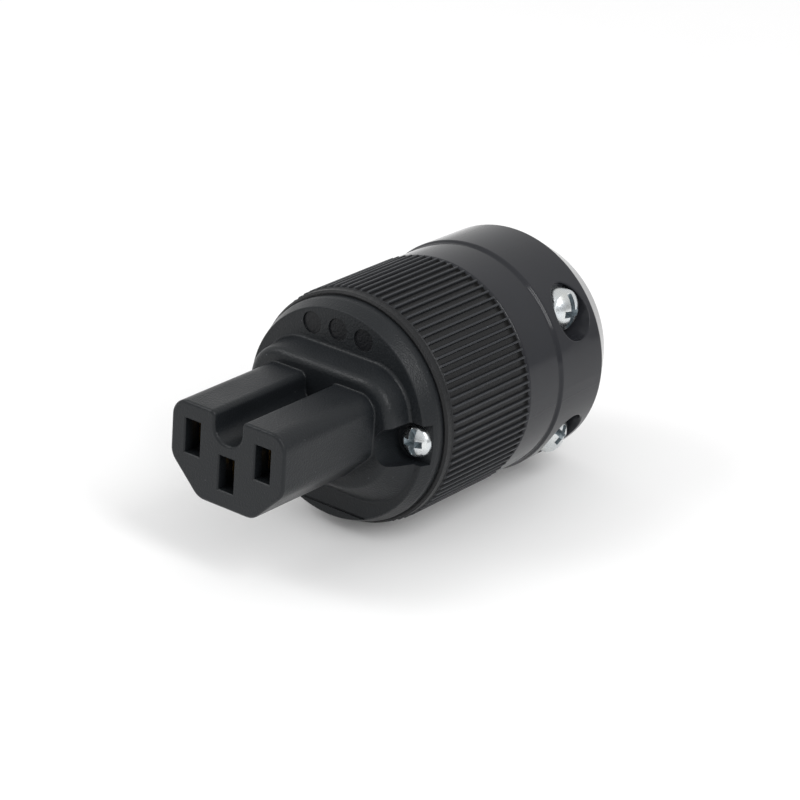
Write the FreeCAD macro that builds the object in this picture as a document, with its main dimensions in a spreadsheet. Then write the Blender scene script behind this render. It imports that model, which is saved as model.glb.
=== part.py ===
"""Rewireable IEC line connector: a keyed female nose, a ribbed grip sleeve and a rear shell
with a two-screw cord clamp.

Frame: millimetres. The origin is the centre of the mating face, the nose points to -Y,
the body's axis is the Y axis, +Z is up (keying notch up, earth slot down).
"""
import FreeCAD
import Part
import Sketcher
import os
import re

from FreeCAD import Placement, Rotation, Vector

# Driving dimensions, in millimetres. Places along the body are measured from the mating face.
SIZES = {
    # Pin pattern of the coupler
    "pole_spacing": 14.0,
    "pole_rise": 2.0,
    "earth_drop": 2.0,
    # Nose
    "nose_width": 22.6,
    "nose_height": 15.5,
    "nose_corner": 3.0,
    "nose_chamfer": 5.8,
    "nose_edge": 0.5,
    "nose_chamfer_round": 3.0,
    "nose_root_blend": 0.25,
    "notch_width": 5.4,
    "notch_depth": 4.8,
    "notch_corner": 2.5,
    "notch_edge": 1.0,
    "slot_width": 3.0,
    "slot_height": 5.7,
    "slot_depth": 1.8,
    "slot_lead": 0.2,
    "cavity_width": 4.6,
    "cavity_height": 6.6,
    # Plinth round the nose
    "plinth_front": 21.8,
    "plinth_front_top": 9.8,
    "plinth_front_flat": 8.4,
    "plinth_front_corner": 6.0,
    "plinth_front_lean": 0.0,
    "plinth_front_hip": 11.0,
    "plinth_front_bottom": 9.6,
    "plinth_root_top": 11.1,
    "plinth_root_flat": 7.15,
    "plinth_root_corner": 7.3,
    "plinth_root_lean": 13.0,
    "plinth_root_hip": 10.0,
    "plinth_root_bottom": 12.9,
    "plinth_edge": 1.4,
    "plinth_blend": 0.5,
    # Flange
    "field_y": 26.6,
    "rim_inner_radius": 17.6,
    "rim_round": 0.3,
    "rim_outer_radius": 18.6,
    "rim_y": 29.2,
    "rim_edge": 0.4,
    "rim_edge_in": 0.1,
    "flange_back": 30.3,
    "spigot_radius": 17.0,
    "spigot_back": 33.0,
    "mark_radius": 1.84,
    "mark_depth": 0.25,
    "mark_pitch": 5.15,
    "mark_shift": -0.6,
    "mark_rise": 14.3,
    "mark_fall": 0.3,
    "bar_half": 7.0,
    "bar_drop": 15.7,
    "bar_width": 0.5,
    # Assembly screws
    "tie_offset": 15.4,
    "tie_seat": 28.2,
    "tie_length": 29.3,
    "recess_half": 3.4,
    "recess_centre": 14.85,
    "recess_reach": 20.0,
    "recess_front": 19.8,
    "screw_hole": 1.9,
    "insert_radius": 2.4,
    "insert_hole": 1.8,
    "insert_length": 6.0,
    "insert_flange_radius": 2.8,
    "insert_flange": 0.8,
    # Screws, 3.5 mm thread
    "tie_head_radius": 2.65,
    "tie_head_height": 2.0,
    "clamp_head_radius": 3.6,
    "clamp_head_height": 4.1,
    "screw_head_round": 1.3,
    "screw_shank": 1.75,
    "screw_tip": 0.5,
    "drive_clear": 4.0,
    "drive_slot": 0.9,
    "drive_slot_depth": 0.8,
    "drive_cross": 3.4,
    "drive_cross_width": 0.8,
    "drive_cross_depth": 1.4,
    # Ribbed sleeve
    "sleeve_back": 52.0,
    "sleeve_bore": 17.1,
    "lip_radius": 19.3,
    "lip_back": 31.8,
    "lip_edge": 0.35,
    "rib_crest": 19.65,
    "rib_valley": 19.2,
    "rib_clear": 19.75,
    "rib_start": 32.3,
    "rib_count": 90,
    "rib_gap_floor": 0.74,
    "rib_flank_gap": 0.98,
    "rib_flank_radius": 19.55,
    "rib_gap_top": 1.22,
    "rib_top_radius": 19.66,
    "rib_round": 0.17,
    "pillar_radius": 3.0,
    # Rear shell
    "shell_spigot": 50.5,
    "band_radius": 19.45,
    "bevel_radius": 18.9,
    "bevel_back": 52.6,
    "bevel_round": 0.65,
    "shoulder_start": 60.2,
    "shoulder_end": 61.1,
    "shoulder_radius": 19.85,
    "shoulder_round": 0.61,
    "taper_start": 72.2,
    "taper_radius": 19.7,
    "taper_round": 0.5,
    "taper_end": 77.5,
    "taper_end_radius": 16.46,
    "rear_face": 78.0,
    "rear_face_radius": 15.6,
    "rear_round": 1.0,
    "chamber_radius": 16.0,
    "chamber_back": 62.0,
    "post_radius": 3.2,
    "post_back": 60.0,
    "key_radius": 3.2,
    "cord_radius": 7.0,
    "mouth_start": 76.0,
    "mouth_radius": 8.8,
    "mouth_round": 0.4,
    # Cord clamp
    "clamp_y": 66.9,
    "clamp_offset": 10.85,
    "clamp_seat": 12.5,
    "clamp_clear": 20.85,
    "clamp_pocket": 4.1,
    "pocket_round": 0.2,
    "clamp_hole": 1.85,
    "clamp_length": 21.7,
    "jaw_width": 8.2,
    "jaw_back": 9.4,
    "jaw_front": 4.4,
    "jaw_half": 14.6,
    "jaw_corner": 0.6,
    "jaw_play": 0.25,
    "jaw_hole": 2.0,
    "tooth_pitch": 2.6,
    "tooth_half": 0.6,
    "tooth_depth": 0.5,
    "boss_face": 3.2,
    "nut_flats": 6.0,
    "nut_height": 2.8,
    "nut_inset": 0.6,
    "nut_hole": 1.8,
    "nut_play": 0.1,
    # Contacts and terminals
    "fork_front": 4.0,
    "fork_nip": 6.5,
    "fork_back": 16.5,
    "fork_end": 17.6,
    "fork_height": 5.0,
    "fork_half": 2.1,
    "fork_mouth": 1.4,
    "fork_gap": 0.95,
    "leaf": 0.6,
    "tail_half": 2.1,
    "tail_sheet": 0.9,
    "tab_half": 3.75,
    "tab_back": 46.5,
    "tab_hole": 1.55,
    "terminal_y": 41.5,
    "plate_width": 7.0,
    "plate_length": 7.6,
    "plate_sheet": 1.0,
    "plate_corner": 0.8,
    "plate_hole": 1.7,
    "terminal_shank": 1.5,
    "terminal_length": 4.4,
    "terminal_head": 2.75,
    "terminal_head_height": 1.9,
    # Contact retainer
    "carrier_half": 11.4,
    "carrier_rise": 8.0,
    "carrier_corner": 3.0,
    "carrier_back": 35.5,
    "ear_half": 3.0,
    "ear_reach": 16.7,
    "shelf_half": 11.0,
    "shelf_back": 47.5,
    "divider_half": 0.8,
    "divider_rise": 7.5,
    "tab_play": 0.1,
    "shelf_hole": 1.8,
    "shelf_hole_depth": 2.85,
}

# How close two lengths are to count as the same, and the least volume that a cut has to take
NEAR = 0.01
LEAST_CUT = 0.001

doc = FreeCAD.newDocument("line_connector")
sheet = doc.addObject("Spreadsheet::Sheet", "size")
for row, (alias, value) in enumerate(SIZES.items(), start=1):
    sheet.set("A%d" % row, alias)
    sheet.set("B%d" % row, str(value))
    sheet.setAlias("B%d" % row, alias)
doc.recompute()


def number(text):
    """Value of an expression in the sheet's names."""
    return float(sheet.evalExpression(text))


def bind(text):
    """The expression as other objects write it, with the sheet's name before each alias."""
    return re.sub(r"[a-z]\w*", lambda m: "size." + m.group() if m.group() in SIZES else m.group(), text)


def new_body(label):
    body = doc.addObject("PartDesign::Body", label)
    body.Label = label
    return body


def origin_feature(body, role):
    return next(item for item in body.Origin.OriginFeatures if item.Role == role)


def new_sketch(body, plane, height="0"):
    """Sketch on one of the body's own planes, lifted along the plane's normal."""
    sketch = body.newObject("Sketcher::SketchObject", "Sketch")
    sketch.AttachmentSupport = [(origin_feature(body, plane), "")]
    sketch.MapMode = "FlatFace"
    sketch.setExpression("AttachmentOffset.Base.z", bind(height))
    return sketch


def across(body, y="0"):
    """Sketch across the body's axis at a distance from the mating face: X right, Z up."""
    return new_sketch(body, "XZ_Plane", "-(%s)" % y)


def fix_point(sketch, geometry, point, x, y):
    """Tie a point of the sketch to two expressions."""
    for kind, text in (("DistanceX", x), ("DistanceY", y)):
        rule = Sketcher.Constraint(kind, -1, 1, geometry, point, number(text))
        sketch.setExpression("Constraints[%d]" % sketch.addConstraint(rule), bind(text))


def fix_radius(sketch, geometry, text):
    rule = Sketcher.Constraint("Radius", geometry, number(text))
    sketch.setExpression("Constraints[%d]" % sketch.addConstraint(rule), bind(text))


def fix_half_round(sketch, geometry, x):
    """Tie the centre of a half-round end to the line of its two upright ends."""
    rule = Sketcher.Constraint("DistanceX", -1, 1, geometry, 3, number(x))
    sketch.setExpression("Constraints[%d]" % sketch.addConstraint(rule), bind(x))


def arc_between(a, b, radius, turn):
    """Arc from a to b of the given radius: turn is 1 for anticlockwise and -1 for clockwise."""
    chord = (a + b) * 0.5
    half = (b - a).Length / 2
    left = Vector(a.y - b.y, b.x - a.x, 0).normalize()
    depth = radius - max(radius ** 2 - half ** 2, 0) ** 0.5
    return Part.Arc(a, chord - left * (turn * depth), b)


def outline(sketch, points, arcs=None):
    """Closed outline through points given as expressions. arcs maps the number of the stretch
    that starts at a point to its radius and its turn, 1 anticlockwise or -1 clockwise."""
    arcs = arcs or {}
    spots = [Vector(number(x), number(y), 0) for x, y in points]
    count = len(points)
    ends = []
    for k, (a, b) in enumerate(zip(spots, spots[1:] + spots[:1])):
        if k in arcs:
            radius, turn = arcs[k]
            geometry = sketch.addGeometry(arc_between(a, b, number(radius), turn))
            ends.append((geometry, 1, 2) if turn > 0 else (geometry, 2, 1))
        else:
            ends.append((sketch.addGeometry(Part.LineSegment(a, b)), 1, 2))
    for k in range(count):
        this, after = ends[k], ends[(k + 1) % count]
        sketch.addConstraint(Sketcher.Constraint("Coincident", this[0], this[2], after[0], after[1]))
    for k, (x, y) in enumerate(points):
        fix_point(sketch, ends[k][0], ends[k][1], x, y)
    for k, (radius, turn) in arcs.items():
        chord = (spots[(k + 1) % count] - spots[k]).Length
        if near(chord, 2 * number(radius)):
            fix_half_round(sketch, ends[k][0], points[k][0])
        else:
            fix_radius(sketch, ends[k][0], radius)


def rectangle(sketch, left, right, bottom, top):
    outline(sketch, [(left, bottom), (right, bottom), (right, top), (left, top)])


def circle(sketch, x, y, radius):
    shape = Part.Circle(Vector(number(x), number(y), 0), Vector(0, 0, 1), number(radius))
    geometry = sketch.addGeometry(shape)
    fix_point(sketch, geometry, 3, x, y)
    fix_radius(sketch, geometry, radius)


def pad(body, sketch, length, reverse=False, middle=False):
    feature = body.newObject("PartDesign::Pad", "Pad")
    feature.Profile = sketch
    feature.setExpression("Length", bind(length))
    feature.Reversed = reverse
    if middle:
        feature.SideType = "Symmetric"
    return feature


def pad_back(body, sketch, length):
    """Pad a sketch across the axis towards the rear."""
    return pad(body, sketch, length, reverse=True)


def pocket(body, sketch, length, reverse=False):
    """Cut against the sketch's normal: towards the rear for a sketch across the axis."""
    doc.recompute()
    before = body.Shape.Volume
    feature = body.newObject("PartDesign::Pocket", "Pocket")
    feature.Profile = sketch
    feature.setExpression("Length", bind(length))
    feature.Reversed = reverse
    doc.recompute()
    if body.Shape.Volume > before - LEAST_CUT:
        raise RuntimeError("a pocket of %s cuts nothing" % body.Label)
    return feature


def revolve(body, sketch):
    feature = body.newObject("PartDesign::Revolution", "Revolution")
    feature.Profile = sketch
    feature.ReferenceAxis = (sketch, ["V_Axis"])
    feature.Angle = 360
    return feature


def turned_cut(body, sketch):
    """Cut a profile all round the body's axis."""
    feature = body.newObject("PartDesign::Groove", "Groove")
    feature.Profile = sketch
    feature.ReferenceAxis = (sketch, ["V_Axis"])
    feature.Angle = 360
    doc.recompute()


def edge_names(shape, wanted):
    """Names of the edges whose points, sampled at both ends and the middle, all fit."""
    names = []
    for k, edge in enumerate(shape.Edges, start=1):
        first, last = edge.ParameterRange
        spots = [edge.valueAt(first + (last - first) * part) for part in (0, 0.5, 1)]
        if all(wanted(spot) for spot in spots):
            names.append("Edge%d" % k)
    return names


def dress(body, kind, size, wanted):
    """Fillet or chamfer the edges of the body's last feature that fit."""
    doc.recompute()
    base = body.Tip
    feature = body.newObject("PartDesign::" + kind, kind)
    feature.Base = (base, edge_names(base.Shape, wanted))
    feature.setExpression("Radius" if kind == "Fillet" else "Size", bind(size))
    doc.recompute()
    return feature


def place(body, x="0", y="0", z="0", turn=None):
    if turn:
        body.Placement = Placement(Vector(), turn)
    for axis, text in zip("xyz", (x, y, z)):
        body.setExpression("Placement.Base." + axis, bind(text))


def near(a, b):
    return abs(a - b) < NEAR


def within(spot, reach):
    """Whether a point lies no further than reach from the body's axis."""
    return spot.x ** 2 + spot.z ** 2 < reach ** 2


def mirrored(points):
    """The points in reverse order, mirrored to the other side of the sketch's upright axis."""
    return [("-(%s)" % x, y) for x, y in reversed(points)]


def poles(sketch, half_width, half_height):
    """Three upright rectangles, one at each contact."""
    line = ("-pole_spacing / 2", "pole_rise")
    neutral = ("pole_spacing / 2", "pole_rise")
    earth = ("0", "-earth_drop")
    for x, z in (line, neutral, earth):
        rectangle(sketch, "%s - %s" % (x, half_width), "%s + %s" % (x, half_width),
                  "%s - %s" % (z, half_height), "%s + %s" % (z, half_height))


def both_ties(sketch, radius):
    """A circle on the axis of each assembly screw."""
    circle(sketch, "tie_offset", "0", radius)
    circle(sketch, "-tie_offset", "0", radius)


def flange(body):
    profile = new_sketch(body, "XY_Plane")
    outline(profile, [
        ("0", "field_y"),
        ("rim_inner_radius", "field_y"),
        ("rim_outer_radius - rim_edge_in", "rim_y - rim_edge"),
        ("rim_outer_radius", "rim_y"),
        ("rim_outer_radius", "flange_back"),
        ("spigot_radius", "flange_back"),
        ("spigot_radius", "spigot_back"),
        ("0", "spigot_back"),
    ])
    revolve(body, profile)
    field_y = number("field_y")
    dress(body, "Fillet", "rim_round", lambda p: near(p.y, field_y))


def plinth_section(body, end, y):
    """Section of the plinth: a flat top, round shoulders, sides that lean out below and round
    hips. Each arc runs on from its neighbours without a kink, so that the ridge can be rounded."""
    section = across(body, y)
    top, flat, corner, hip, bottom = [
        "plinth_%s_%s" % (end, part) for part in ("top", "flat", "corner", "hip", "bottom")
    ]
    sine = "sin(plinth_%s_lean * 1 deg)" % end
    cosine = "cos(plinth_%s_lean * 1 deg)" % end
    spread = "(%s - %s + %s - %s) * %s" % (top, corner, bottom, hip, sine)
    low = "(%s + (%s + %s - %s) / %s)" % (flat, spread, corner, hip, cosine)
    right = [
        (low, "-" + bottom),
        ("%s + %s * %s" % (low, hip, cosine), "%s - %s + %s * %s" % (hip, bottom, hip, sine)),
        ("%s + %s * %s" % (flat, corner, cosine), "%s - %s + %s * %s" % (top, corner, corner, sine)),
        (flat, top),
    ]
    arcs = {0: (hip, 1), 2: (corner, 1), 4: (corner, 1), 6: (hip, 1)}
    outline(section, right + mirrored(right), arcs)
    return section


def plinth(body):
    """Raised seat of the nose: a loft that spreads below, with a soft ridge and a tight blend."""
    root = plinth_section(body, "root", "field_y")
    front = plinth_section(body, "front", "plinth_front")
    loft = body.newObject("PartDesign::AdditiveLoft", "Loft")
    loft.Profile = root
    loft.Sections = [front]
    loft.Ruled = True
    front_y = number("plinth_front")
    field_y = number("field_y")
    reach = number("rim_inner_radius") - NEAR
    dress(body, "Fillet", "plinth_edge", lambda p: near(p.y, front_y))
    dress(body, "Fillet", "plinth_blend", lambda p: near(p.y, field_y) and within(p, reach))


def nose(body):
    """Nose with its keying notch, from the mating face into the plinth."""
    section = across(body)
    half, top = "nose_width / 2", "nose_height / 2"
    notch, floor = "notch_width / 2", "nose_height / 2 - notch_depth"
    outline(section, [
        ("nose_chamfer - nose_width / 2", "-nose_height / 2"),
        ("nose_width / 2 - nose_chamfer", "-nose_height / 2"),
        (half, "nose_chamfer - nose_height / 2"),
        (half, "nose_height / 2 - nose_corner"),
        ("nose_width / 2 - nose_corner", top),
        (notch, top),
        (notch, floor + " + notch_corner"),
        ("notch_width / 2 - notch_corner", floor),
        ("notch_corner - notch_width / 2", floor),
        ("-notch_width / 2", floor + " + notch_corner"),
        ("-notch_width / 2", top),
        ("nose_corner - nose_width / 2", top),
        ("-nose_width / 2", "nose_height / 2 - nose_corner"),
        ("-nose_width / 2", "nose_chamfer - nose_height / 2"),
    ], {3: ("nose_corner", 1), 6: ("notch_corner", -1), 8: ("notch_corner", -1), 11: ("nose_corner", 1)})
    pad_back(body, section, "plinth_front + plinth_edge")
    chamfers = [
        (number(half), number("nose_chamfer - nose_height / 2")),
        (number("nose_width / 2 - nose_chamfer"), number("-nose_height / 2")),
    ]
    lips = [(number(notch), number(top))]
    front_y, wide, tall = number("plinth_front"), number(half) + NEAR, number(top) + NEAR

    def on_line(spot, lines):
        return any(near(abs(spot.x), x) and near(spot.z, z) for x, z in lines)

    dress(body, "Fillet", "nose_chamfer_round", lambda p: on_line(p, chamfers))
    dress(body, "Fillet", "notch_edge", lambda p: on_line(p, lips))
    dress(body, "Fillet", "nose_root_blend",
          lambda p: near(p.y, front_y) and abs(p.x) < wide and abs(p.z) < tall)
    dress(body, "Fillet", "nose_edge", lambda p: near(p.y, 0))


def contact_ways(body):
    """Pin slots in the mating face, with a small lead-in, and the contact cavities behind them."""
    slots = across(body)
    poles(slots, "slot_width / 2", "slot_height / 2")
    pocket(body, slots, "slot_depth")
    half_x = number("slot_width / 2") + NEAR
    half_z = number("slot_height / 2") + NEAR
    side, rise, drop = number("pole_spacing / 2"), number("pole_rise"), number("earth_drop")

    def on_slot(p):
        at_pole = abs(abs(p.x) - side) < half_x and abs(p.z - rise) < half_z
        at_earth = abs(p.x) < half_x and abs(p.z + drop) < half_z
        return near(p.y, 0) and (at_pole or at_earth)

    dress(body, "Chamfer", "slot_lead", on_slot)
    cavities = across(body, "slot_depth")
    poles(cavities, "cavity_width / 2", "cavity_height / 2")
    pocket(body, cavities, "spigot_back - slot_depth")


def tie_recesses(body):
    """U-shaped screw recess on each side of the nose, open to the rim, and the screw holes."""
    for side, turn in (("", -1), ("-", 1)):
        recess = across(body, "recess_front")
        x, far = side + "recess_centre", side + "recess_reach"
        outline(recess, [
            (far, "recess_half"),
            (x, "recess_half"),
            (x, "-recess_half"),
            (far, "-recess_half"),
        ], {1: ("recess_half", -turn)})
        pocket(body, recess, "tie_seat - recess_front")
    holes = across(body, "tie_seat")
    both_ties(holes, "screw_hole")
    pocket(body, holes, "spigot_back - tie_seat")


def moulded_marks(body):
    """Three blank round marks above the nose and a plain bar below it."""
    marks = across(body, "field_y")
    for place_x, fall in (("-mark_pitch", "mark_fall"), ("0", "0"), ("mark_pitch", "mark_fall")):
        circle(marks, "mark_shift + " + place_x, "mark_rise - " + fall, "mark_radius")
    rectangle(marks, "-bar_half", "bar_half", "-bar_drop - bar_width", "-bar_drop")
    pocket(body, marks, "mark_depth")


def front_body():
    body = new_body("front_body")
    flange(body)
    plinth(body)
    nose(body)
    contact_ways(body)
    tie_recesses(body)
    moulded_marks(body)


def contact(label, x, z):
    """Fork contact with two bowed leaves, and a tail that widens to the terminal tab."""
    body = new_body(label)
    fork = new_sketch(body, "XY_Plane")
    right = [
        ("fork_mouth + leaf", "fork_front"),
        ("fork_gap + leaf", "fork_nip"),
        ("fork_half", "fork_back"),
        ("fork_half", "fork_end"),
    ]
    inner = [
        ("fork_half - leaf", "fork_back"),
        ("fork_gap", "fork_nip"),
        ("fork_mouth", "fork_front"),
    ]
    outline(fork, right + mirrored(right) + mirrored(inner) + inner)
    pad(body, fork, "fork_height", middle=True)
    tail = new_sketch(body, "XY_Plane")
    side = [
        ("tail_half", "fork_end - leaf"),
        ("tail_half", "spigot_back"),
        ("tab_half", "spigot_back"),
        ("tab_half", "tab_back"),
    ]
    outline(tail, side + mirrored(side))
    pad(body, tail, "tail_sheet", middle=True)
    hole = new_sketch(body, "XY_Plane", "tail_sheet / 2")
    circle(hole, "0", "terminal_y", "tab_hole")
    pocket(body, hole, "tail_sheet")
    place(body, x, "0", z)


def clamp_plate(label, x, z):
    """Square wire clamp under a terminal screw, with rounded corners."""
    body = new_body(label)
    sketch = new_sketch(body, "XY_Plane")
    rectangle(sketch, "-plate_width / 2", "plate_width / 2", "-plate_length / 2", "plate_length / 2")
    circle(sketch, "0", "0", "plate_hole")
    pad(body, sketch, "plate_sheet")
    half = number("plate_width / 2")
    dress(body, "Fillet", "plate_corner",
          lambda p: near(abs(p.x), half) and near(abs(p.y), number("plate_length / 2")))
    place(body, x, "terminal_y", z)


def screw(label, head, head_height, shank, length):
    """Pan-head screw along Z with its seat at the origin, head up, and a slot with a cross in it."""
    body = new_body(label)
    profile = new_sketch(body, "XZ_Plane")
    outline(profile, [
        ("0", head_height),
        (head, head_height),
        (head, "0"),
        (shank, "0"),
        (shank, "screw_tip - (%s)" % length),
        ("%s - screw_tip" % shank, "-(%s)" % length),
        ("0", "-(%s)" % length),
    ])
    revolve(body, profile)
    top = number(head_height)
    dress(body, "Fillet", "screw_head_round", lambda p: near(p.z, top))
    slot = new_sketch(body, "XY_Plane", head_height)
    rectangle(slot, "-drive_clear", "drive_clear", "-drive_slot / 2", "drive_slot / 2")
    pocket(body, slot, "drive_slot_depth")
    long, short = "drive_cross / 2", "drive_cross_width / 2"
    for half_x, half_y in ((long, short), (short, long)):
        cross = new_sketch(body, "XY_Plane", head_height)
        rectangle(cross, "-" + half_x, half_x, "-" + half_y, half_y)
        pocket(body, cross, "drive_cross_depth")
    return body


def terminals():
    """Contact, clamp plate and screw of each pole. The earth terminal hangs under its shelf."""
    lift = "tail_sheet / 2"
    for pole, x in (("line", "-pole_spacing / 2"), ("neutral", "pole_spacing / 2")):
        contact(pole + "_contact", x, "pole_rise")
        clamp_plate(pole + "_clamp_plate", x, "pole_rise + " + lift)
        body = screw(pole + "_terminal_screw", "terminal_head", "terminal_head_height",
                     "terminal_shank", "terminal_length")
        place(body, x, "terminal_y", "pole_rise + %s + plate_sheet" % lift)
    contact("earth_contact", "0", "-earth_drop")
    clamp_plate("earth_clamp_plate", "0", "-earth_drop - %s - plate_sheet" % lift)
    body = screw("earth_terminal_screw", "terminal_head", "terminal_head_height",
                 "terminal_shank", "terminal_length")
    place(body, "0", "terminal_y", "-earth_drop - %s - plate_sheet" % lift,
          Rotation(Vector(1, 0, 0), 180))


def contact_retainer():
    """Carrier plate clamped behind the flange, with a shelf for the terminals and a divider."""
    body = new_body("contact_retainer")
    plate = across(body, "spigot_back")
    half, rise, corner = "carrier_half", "carrier_rise", "carrier_corner"
    quarter = [
        ("ear_reach", "ear_half"),
        (half, "ear_half"),
        (half, "carrier_rise - carrier_corner"),
        ("carrier_half - carrier_corner", rise),
    ]
    upper = quarter + mirrored(quarter)
    lower = [(x, "-(%s)" % z) for x, z in reversed(upper)]
    outline(plate, upper + lower, {2: (corner, 1), 4: (corner, 1), 10: (corner, 1), 12: (corner, 1)})
    pad_back(body, plate, "carrier_back - spigot_back")
    shelf = across(body, "carrier_back")
    top = "(pole_rise - tail_sheet / 2)"
    rectangle(shelf, "-shelf_half", "shelf_half", "-" + top, top)
    pad_back(body, shelf, "shelf_back - carrier_back")
    divider = across(body, "carrier_back")
    rectangle(divider, "-divider_half", "divider_half", top, "divider_rise")
    pad_back(body, divider, "shelf_back - carrier_back")
    doc.recompute()
    slots = across(body, "spigot_back")
    poles(slots, "(tab_half + tab_play)", "(tail_sheet / 2 + tab_play)")
    pocket(body, slots, "carrier_back - spigot_back")
    above = new_sketch(body, "XY_Plane", top)
    circle(above, "-pole_spacing / 2", "terminal_y", "shelf_hole")
    circle(above, "pole_spacing / 2", "terminal_y", "shelf_hole")
    pocket(body, above, "shelf_hole_depth")
    below = new_sketch(body, "XY_Plane", "-" + top)
    circle(below, "0", "terminal_y", "shelf_hole")
    pocket(body, below, "shelf_hole_depth", reverse=True)
    holes = across(body, "spigot_back")
    both_ties(holes, "screw_hole")
    pocket(body, holes, "carrier_back - spigot_back")


def ribbed_sleeve():
    """Grip sleeve: a plain front lip, axial ribs all round, and two screw pillars inside."""
    body = new_body("ribbed_sleeve")
    profile = new_sketch(body, "XY_Plane")
    outline(profile, [
        ("sleeve_bore", "flange_back"),
        ("lip_radius - lip_edge", "flange_back"),
        ("lip_radius", "flange_back + lip_edge"),
        ("lip_radius", "lip_back"),
        ("rib_crest", "rib_start"),
        ("rib_crest", "sleeve_back"),
        ("sleeve_bore", "sleeve_back"),
    ])
    revolve(body, profile)
    pillars = across(body, "carrier_back")
    both_ties(pillars, "pillar_radius")
    pad_back(body, pillars, "sleeve_back - carrier_back")
    doc.recompute()
    holes = across(body, "flange_back")
    both_ties(holes, "screw_hole")
    pocket(body, holes, "sleeve_back - flange_back")
    valley = across(body, "lip_back + lip_edge / 2")
    flank = [
        ("rib_gap_floor / 2", "rib_valley"),
        ("rib_flank_gap / 2", "rib_flank_radius"),
        ("rib_gap_top / 2", "rib_top_radius"),
        ("rib_gap_top / 2", "rib_clear"),
    ]
    outline(valley, flank + mirrored(flank), {1: ("rib_round", -1), 5: ("rib_round", -1)})
    first = pocket(body, valley, "sleeve_back - lip_back")
    ribs = body.newObject("PartDesign::PolarPattern", "Ribs")
    ribs.Originals = [first]
    ribs.Axis = (origin_feature(body, "Y_Axis"), [""])
    ribs.Angle = 360
    ribs.setExpression("Occurrences", bind("rib_count"))
    body.Tip = ribs


def shell_outside(body):
    """Front bevel, plain band, shoulder, larger band and the tapered rear edge."""
    profile = new_sketch(body, "XY_Plane")
    outline(profile, [
        ("0", "shell_spigot"),
        ("spigot_radius", "shell_spigot"),
        ("spigot_radius", "sleeve_back"),
        ("bevel_radius", "sleeve_back"),
        ("band_radius", "bevel_back"),
        ("band_radius", "shoulder_start"),
        ("(band_radius + shoulder_radius) / 2", "(shoulder_start + shoulder_end) / 2"),
        ("shoulder_radius", "shoulder_end"),
        ("taper_radius", "taper_start"),
        ("taper_end_radius", "taper_end"),
        ("rear_face_radius", "rear_face"),
        ("0", "rear_face"),
    ], {
        3: ("bevel_round", 1),
        5: ("shoulder_round", -1),
        6: ("shoulder_round", 1),
        9: ("rear_round", 1),
    })
    revolve(body, profile)
    taper_y = number("taper_start")
    dress(body, "Fillet", "taper_round", lambda p: near(p.y, taper_y))


def shell_inside(body):
    """Wiring chamber with two insert posts, and the cord way with its flared mouth."""
    chamber = across(body, "shell_spigot")
    circle(chamber, "0", "0", "chamber_radius")
    pocket(body, chamber, "chamber_back - shell_spigot")
    posts = across(body, "sleeve_back")
    both_ties(posts, "post_radius")
    pad_back(body, posts, "post_back - sleeve_back")
    doc.recompute()
    keys = across(body, "shell_spigot")
    both_ties(keys, "key_radius")
    pocket(body, keys, "sleeve_back - shell_spigot")
    inserts = across(body, "sleeve_back")
    both_ties(inserts, "insert_radius")
    pocket(body, inserts, "insert_length")
    collars = across(body, "sleeve_back")
    both_ties(collars, "insert_flange_radius")
    pocket(body, collars, "insert_flange")
    tips = across(body, "sleeve_back + insert_length")
    both_ties(tips, "screw_hole")
    pocket(body, tips, "post_back - sleeve_back - insert_length")
    cord = across(body, "chamber_back")
    circle(cord, "0", "0", "cord_radius")
    pocket(body, cord, "rear_face - chamber_back")
    mouth = new_sketch(body, "XY_Plane")
    outline(mouth, [
        ("0", "mouth_start"),
        ("cord_radius", "mouth_start"),
        ("mouth_radius", "rear_face"),
        ("0", "rear_face"),
    ])
    turned_cut(body, mouth)
    rear_y, reach = number("rear_face"), number("mouth_radius") + NEAR
    dress(body, "Fillet", "mouth_round", lambda p: near(p.y, rear_y) and within(p, reach))


def shell_clamp_ways(body):
    """Guide for the moving jaw, open to the chamber, and the counterbored clamp screw holes."""
    guide = across(body, "chamber_back")
    back, half = "jaw_back + jaw_play", "jaw_half + jaw_play"
    outline(guide, [
        ("-(%s)" % back, "-(%s - jaw_corner)" % half),
        ("jaw_corner - (%s)" % back, "-(%s)" % half),
        ("boss_face", "-(%s)" % half),
        ("boss_face", half),
        ("jaw_corner - (%s)" % back, half),
        ("-(%s)" % back, "%s - jaw_corner" % half),
    ])
    pocket(body, guide, "clamp_y + jaw_width / 2 + jaw_play - chamber_back")
    for z in ("clamp_offset", "-clamp_offset"):
        bore = new_sketch(body, "YZ_Plane", "clamp_clear")
        circle(bore, "clamp_y", z, "clamp_pocket")
        pocket(body, bore, "clamp_clear - clamp_seat")
        hole = new_sketch(body, "YZ_Plane", "clamp_seat")
        circle(hole, "clamp_y", z, "clamp_hole")
        pocket(body, hole, "clamp_seat - boss_face")
    axis_y, axis_z = number("clamp_y"), number("clamp_offset")
    radius, seat = number("clamp_pocket"), number("clamp_seat") + NEAR

    def on_brim(p):
        off_axis = ((p.y - axis_y) ** 2 + (abs(p.z) - axis_z) ** 2) ** 0.5
        return near(off_axis, radius) and p.x > seat

    dress(body, "Fillet", "pocket_round", on_brim)


def rear_housing():
    body = new_body("rear_housing")
    shell_outside(body)
    shell_inside(body)
    shell_clamp_ways(body)


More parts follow.
